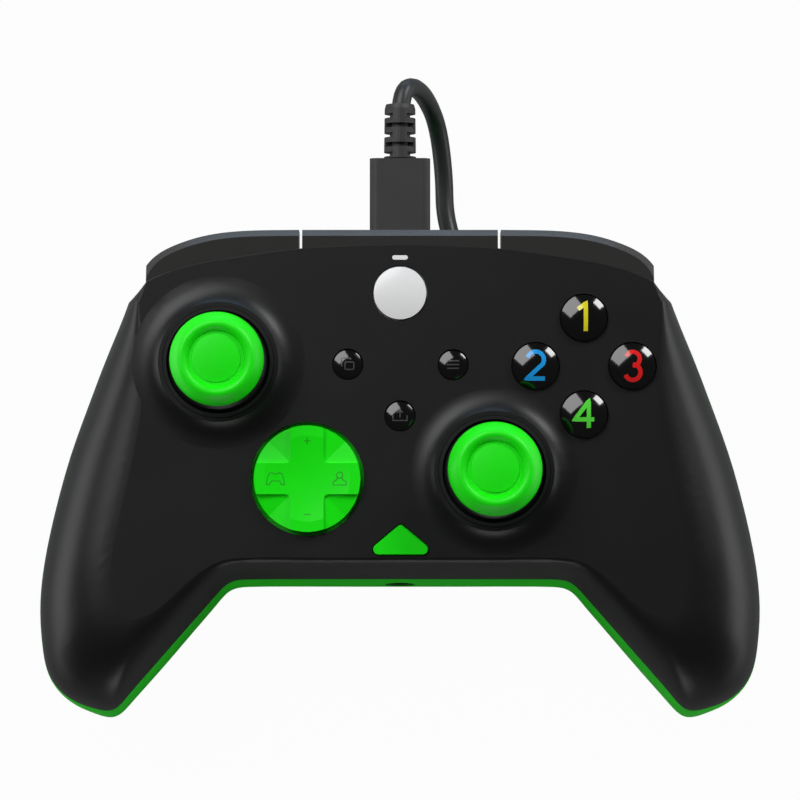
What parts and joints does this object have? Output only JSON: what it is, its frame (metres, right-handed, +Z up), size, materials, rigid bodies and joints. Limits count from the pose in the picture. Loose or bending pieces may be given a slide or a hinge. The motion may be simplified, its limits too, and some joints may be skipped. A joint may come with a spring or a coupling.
{
  "type": "gamepad controller",
  "caption": "Wired gamepad with offset thumb sticks, direction pad, face buttons, bumpers, triggers and a put-away cable under it.",
  "frame": {"origin": "on the table under the middle of the pad without its cable", "axes": "+X to the player's right, +Y away from the player to the cable, +Z up out of the face"},
  "size_m": [0.155, 0.1376, 0.0587],
  "materials": {
    "plate_black": "soft matte black",
    "shell_green": "satin green",
    "gloss_black": "high gloss black",
    "stick_green": "matte green",
    "ring_grey": "slippery satin",
    "frame_grey": "moulded",
    "housing_steel": "plain",
    "pin_steel": "turned",
    "spring_steel": "wound",
    "sensor_green": "moulded",
    "board_green": "solder mask",
    "membrane_grey": "soft",
    "switch_black": "moulded",
    "guide_white": "frosted white",
    "button_green": "semi gloss green",
    "light_white": "diffuser",
    "motor_steel": "drawn case",
    "weight_steel": "sintered",
    "screw_steel": "dark zinc",
    "plug_metal": "plated",
    "cable_black": "matte",
    "tie_black": "hook and loop"
  },
  "bodies": {
    "pad": {"face_plate": "plate_black", "rear_shell": "shell_green", "bumper_bridge": "gloss_black", "trigger_pins": "pin_steel", "trigger_springs": "spring_steel", "shoulder_frame": "frame_grey", "rumble_motor_left": "motor_steel", "rumble_motor_right": "motor_steel", "main_board": "board_green", "button_membrane": "membrane_grey", "dpad_membrane": "membrane_grey", "dpad_post": "frame_grey", "status_light": "light_white", "click_switches": "switch_black", "headset_jack": "switch_black", "usb_socket": "plug_metal", "case_screws": "screw_steel", "cable_plug": "cable_black", "plug_tongue": "plug_metal", "strain_relief": "cable_black", "cord": "cable_black", "cord_coil": "cable_black", "cord_tail": "cable_black", "far_plug": "cable_black", "far_plug_shell": "plug_metal", "coil_tie": "tie_black", "stick_sensors": "sensor_green", "stick_springs": "spring_steel", "left_stick_ring": "ring_grey", "left_stick_housing": "housing_steel", "right_stick_ring": "ring_grey", "right_stick_housing": "housing_steel"},
    "bumper_left": {"bumper_left": "gloss_black"},
    "bumper_right": {"bumper_right": "gloss_black"},
    "trigger_left": {"trigger_left": "plate_black"},
    "trigger_right": {"trigger_right": "plate_black"},
    "rumble_weight_left": {"rumble_weight_left": "weight_steel"},
    "rumble_weight_right": {"rumble_weight_right": "weight_steel"},
    "dpad_rocker": {"dpad_rocker": "frame_grey"},
    "dpad_disc": {"dpad_disc": "button_green"},
    "rear_button_left": {"rear_button_left": "plate_black"},
    "rear_button_right": {"rear_button_right": "plate_black"},
    "face_button_top": {"face_button_top": "gloss_black"},
    "face_button_left": {"face_button_left": "gloss_black"},
    "face_button_right": {"face_button_right": "gloss_black"},
    "face_button_bottom": {"face_button_bottom": "gloss_black"},
    "guide_button": {"guide_button": "guide_white"},
    "view_button": {"view_button": "gloss_black"},
    "menu_button": {"menu_button": "gloss_black"},
    "share_button": {"share_button": "gloss_black"},
    "function_button": {"function_button": "button_green"},
    "left_stick_rocker": {"left_stick_rocker": "frame_grey"},
    "left_stick_swivel": {"left_stick_swivel": "frame_grey"},
    "left_stick_top": {"left_stick_stem": "ring_grey", "left_stick_cap": "stick_green"},
    "right_stick_rocker": {"right_stick_rocker": "frame_grey"},
    "right_stick_swivel": {"right_stick_swivel": "frame_grey"},
    "right_stick_top": {"right_stick_stem": "ring_grey", "right_stick_cap": "stick_green"}
  },
  "joints": [
    {"name": "bumper_left_press", "type": "hinge", "parent": "pad", "child": "bumper_left", "pos_m": [-0.0235, 0.04883, 0.036], "axis": [0, 0, 1], "range_deg": [0, 2.2], "stiffness_Nm_per_rad": 0.6, "springref_deg": -1.15},
    {"name": "bumper_right_press", "type": "hinge", "parent": "pad", "child": "bumper_right", "pos_m": [0.0235, 0.04883, 0.036], "axis": [0, 0, -1], "range_deg": [0, 2.2], "stiffness_Nm_per_rad": 0.6, "springref_deg": -1.15},
    {"name": "trigger_left_pull", "type": "hinge", "parent": "pad", "child": "trigger_left", "pos_m": [-0.0351, 0.03643, 0.0254], "axis": [-1, 0, 0], "range_deg": [0, 16], "stiffness_Nm_per_rad": 0.06, "springref_deg": -6.88},
    {"name": "rumble_left_spin", "type": "hinge", "parent": "pad", "child": "rumble_weight_left", "pos_m": [-0.06, -0.00787, 0.0103], "axis": [0, 1, 0], "continuous": true},
    {"name": "trigger_right_pull", "type": "hinge", "parent": "pad", "child": "trigger_right", "pos_m": [0.0351, 0.03643, 0.0254], "axis": [-1, 0, 0], "range_deg": [0, 16], "stiffness_Nm_per_rad": 0.06, "springref_deg": -6.88},
    {"name": "rumble_right_spin", "type": "hinge", "parent": "pad", "child": "rumble_weight_right", "pos_m": [0.06, -0.00787, 0.0103], "axis": [0, 1, 0], "continuous": true},
    {"name": "left_stick_lean_y", "type": "hinge", "parent": "pad", "child": "left_stick_rocker", "pos_m": [-0.0386, 0.02333, 0.038], "axis": [1, 0, 0], "range_deg": [-18, 18], "stiffness_Nm_per_rad": 0.03},
    {"name": "left_stick_lean_x", "type": "hinge", "parent": "left_stick_rocker", "child": "left_stick_swivel", "pos_m": [-0.0386, 0.02333, 0.038], "axis": [0, 1, 0], "range_deg": [-18, 18], "stiffness_Nm_per_rad": 0.03},
    {"name": "left_stick_click", "type": "slide", "parent": "left_stick_swivel", "child": "left_stick_top", "axis": [0, 0, -1], "range_m": [0, 0.0007], "stiffness_N_per_m": 1500, "springref_m": -0.0003},
    {"name": "right_stick_lean_y", "type": "hinge", "parent": "pad", "child": "right_stick_rocker", "pos_m": [0.02, 0.00013, 0.038], "axis": [1, 0, 0], "range_deg": [-18, 18], "stiffness_Nm_per_rad": 0.03},
    {"name": "right_stick_lean_x", "type": "hinge", "parent": "right_stick_rocker", "child": "right_stick_swivel", "pos_m": [0.02, 0.00013, 0.038], "axis": [0, 1, 0], "range_deg": [-18, 18], "stiffness_Nm_per_rad": 0.03},
    {"name": "right_stick_click", "type": "slide", "parent": "right_stick_swivel", "child": "right_stick_top", "axis": [0, 0, -1], "range_m": [0, 0.0007], "stiffness_N_per_m": 1500, "springref_m": -0.0003},
    {"name": "dpad_tip_y", "type": "hinge", "parent": "pad", "child": "dpad_rocker", "pos_m": [-0.0197, -0.00147, 0.0397], "axis": [1, 0, 0], "range_deg": [-2.8, 2.8], "stiffness_Nm_per_rad": 0.4},
    {"name": "dpad_tip_x", "type": "hinge", "parent": "dpad_rocker", "child": "dpad_disc", "pos_m": [-0.0197, -0.00147, 0.0397], "axis": [0, 1, 0], "range_deg": [-2.8, 2.8], "stiffness_Nm_per_rad": 0.4},
    {"name": "face_button_top_press", "type": "slide", "parent": "pad", "child": "face_button_top", "axis": [0, 0, -1], "range_m": [0, 0.0015], "stiffness_N_per_m": 350, "springref_m": -0.0006},
    {"name": "face_button_left_press", "type": "slide", "parent": "pad", "child": "face_button_left", "axis": [0, 0, -1], "range_m": [0, 0.0015], "stiffness_N_per_m": 350, "springref_m": -0.0006},
    {"name": "face_button_right_press", "type": "slide", "parent": "pad", "child": "face_button_right", "axis": [0, 0, -1], "range_m": [0, 0.0015], "stiffness_N_per_m": 350, "springref_m": -0.0006},
    {"name": "face_button_bottom_press", "type": "slide", "parent": "pad", "child": "face_button_bottom", "axis": [0, 0, -1], "range_m": [0, 0.0015], "stiffness_N_per_m": 350, "springref_m": -0.0006},
    {"name": "view_button_press", "type": "slide", "parent": "pad", "child": "view_button", "axis": [0, 0, -1], "range_m": [0, 0.0008], "stiffness_N_per_m": 500, "springref_m": -0.0004},
    {"name": "menu_button_press", "type": "slide", "parent": "pad", "child": "menu_button", "axis": [0, 0, -1], "range_m": [0, 0.0008], "stiffness_N_per_m": 500, "springref_m": -0.0004},
    {"name": "share_button_press", "type": "slide", "parent": "pad", "child": "share_button", "axis": [0, 0, -1], "range_m": [0, 0.0008], "stiffness_N_per_m": 500, "springref_m": -0.0004},
    {"name": "function_button_press", "type": "slide", "parent": "pad", "child": "function_button", "axis": [0, 0, -1], "range_m": [0, 0.0008], "stiffness_N_per_m": 500, "springref_m": -0.0004},
    {"name": "guide_button_press", "type": "slide", "parent": "pad", "child": "guide_button", "axis": [0, 0, -1], "range_m": [0, 0.0006], "stiffness_N_per_m": 700, "springref_m": -0.0004},
    {"name": "rear_button_left_press", "type": "slide", "parent": "pad", "child": "rear_button_left", "axis": [-0.8137, 0, 0.5812], "range_m": [0, 0.0007], "stiffness_N_per_m": 600, "springref_m": -0.0004},
    {"name": "rear_button_right_press", "type": "slide", "parent": "pad", "child": "rear_button_right", "axis": [0.8137, 0, 0.5812], "range_m": [0, 0.0007], "stiffness_N_per_m": 600, "springref_m": -0.0004}
  ]
}
